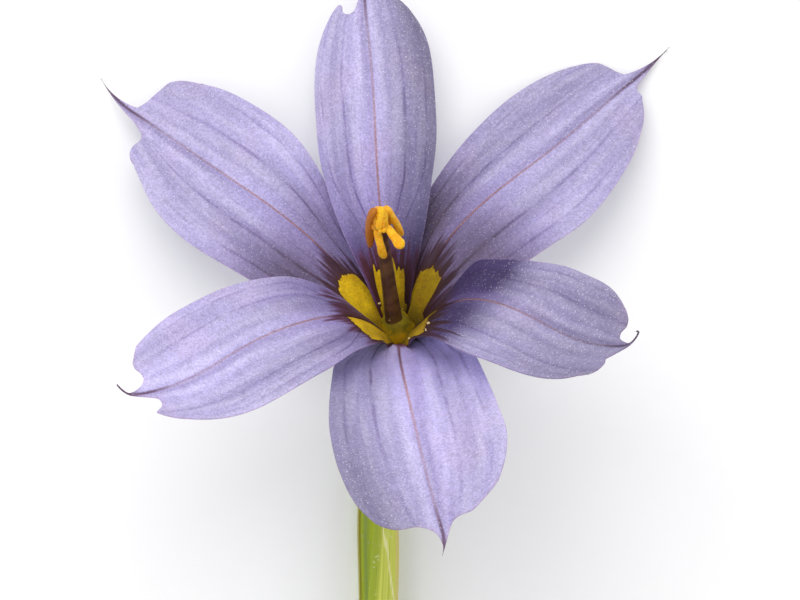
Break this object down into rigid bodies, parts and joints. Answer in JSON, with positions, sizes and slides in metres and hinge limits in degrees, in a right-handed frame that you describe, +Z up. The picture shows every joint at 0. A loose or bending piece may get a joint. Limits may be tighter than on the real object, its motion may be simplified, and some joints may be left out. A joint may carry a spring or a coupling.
{
  "type": "blue-eyed grass flower",
  "caption": "Picked blue-eyed grass flower lying on its back: open lavender tepals round a filament column with anthers, on a cut stem with its bracts.",
  "frame": {"origin": "on the surface that the flower lies on, under the middle of its box", "axes": "+Z up from the surface; +Y from the stem's cut end toward the top tepal; +X to the right as the flower is looked down on"},
  "size_m": [0.0227, 0.0454, 0.0172],
  "materials": {
    "tepal_outer": "soft petal, lavender-blue, finely granular, with darker veins and a yellow base",
    "tepal_inner": "soft petal, violet-blue, finely granular, with darker veins and a yellow base",
    "anther_orange": "powdery orange pollen sacs",
    "column_brown": "dark brown-purple, slightly glossy",
    "ovary_green": "green, satin, with fine hairs",
    "stem_green": "green, satin, finely ribbed",
    "bract_green": "green, satin, finely ribbed, with a pale thin margin"
  },
  "bodies": {
    "root": {"tepal_outer_upper_right": "tepal_outer", "tepal_outer_bottom": "tepal_outer", "tepal_outer_upper_left": "tepal_outer", "tepal_inner_top": "tepal_inner", "tepal_inner_right": "tepal_inner", "tepal_inner_left": "tepal_inner", "filament_column": "column_brown", "anthers": "anther_orange", "ovary_and_stalk": "ovary_green", "stem": "stem_green", "outer_bract": "bract_green", "inner_bract": "bract_green"}
  },
  "joints": []
}
